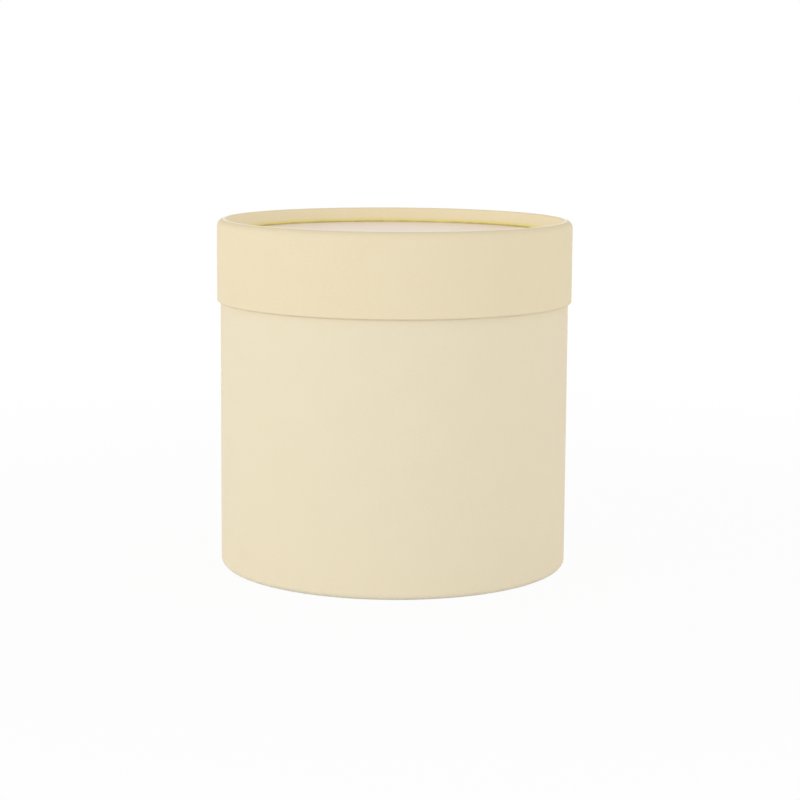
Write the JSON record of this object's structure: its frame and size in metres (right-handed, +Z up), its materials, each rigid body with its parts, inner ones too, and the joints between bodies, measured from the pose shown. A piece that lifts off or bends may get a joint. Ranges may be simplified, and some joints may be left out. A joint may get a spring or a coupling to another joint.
{
  "type": "flower bucket",
  "caption": "Round paperboard flower box: a wide cylinder with a rolled foot and a slip-on lid whose rolled rim stands round a sunk disc.",
  "frame": {"origin": "centre of the underside of the foot, on the surface that the box stands on", "axes": "+Z up along the cylinder's axis, +Y to the back, where the paper's lap seams are, -Y to the front"},
  "size_m": [0.1274, 0.1275, 0.125],
  "materials": {
    "wrap_paper": "matt pale yellow wrapping paper",
    "disc_paper": "matt pale yellow paper on a flat disc",
    "board": "grey-brown recycled board, cut edges bare",
    "lining": "white lining paper with a thin water-resistant film"
  },
  "bodies": {
    "bucket": {"bucket_tube": "board", "bucket_wrap": "wrap_paper", "bucket_lining": "lining", "base_board": "board", "base_paper": "disc_paper", "base_lining": "lining"},
    "lid": {"lid_tube": "board", "lid_wrap": "wrap_paper", "lid_lining": "lining", "lid_disc_board": "board", "lid_disc_paper": "disc_paper", "lid_disc_lining": "lining"}
  },
  "joints": [
    {"name": "lid_lift", "type": "slide", "parent": "bucket", "child": "lid", "axis": [0, 0, 1], "range_m": [0, 0.12]}
  ]
}
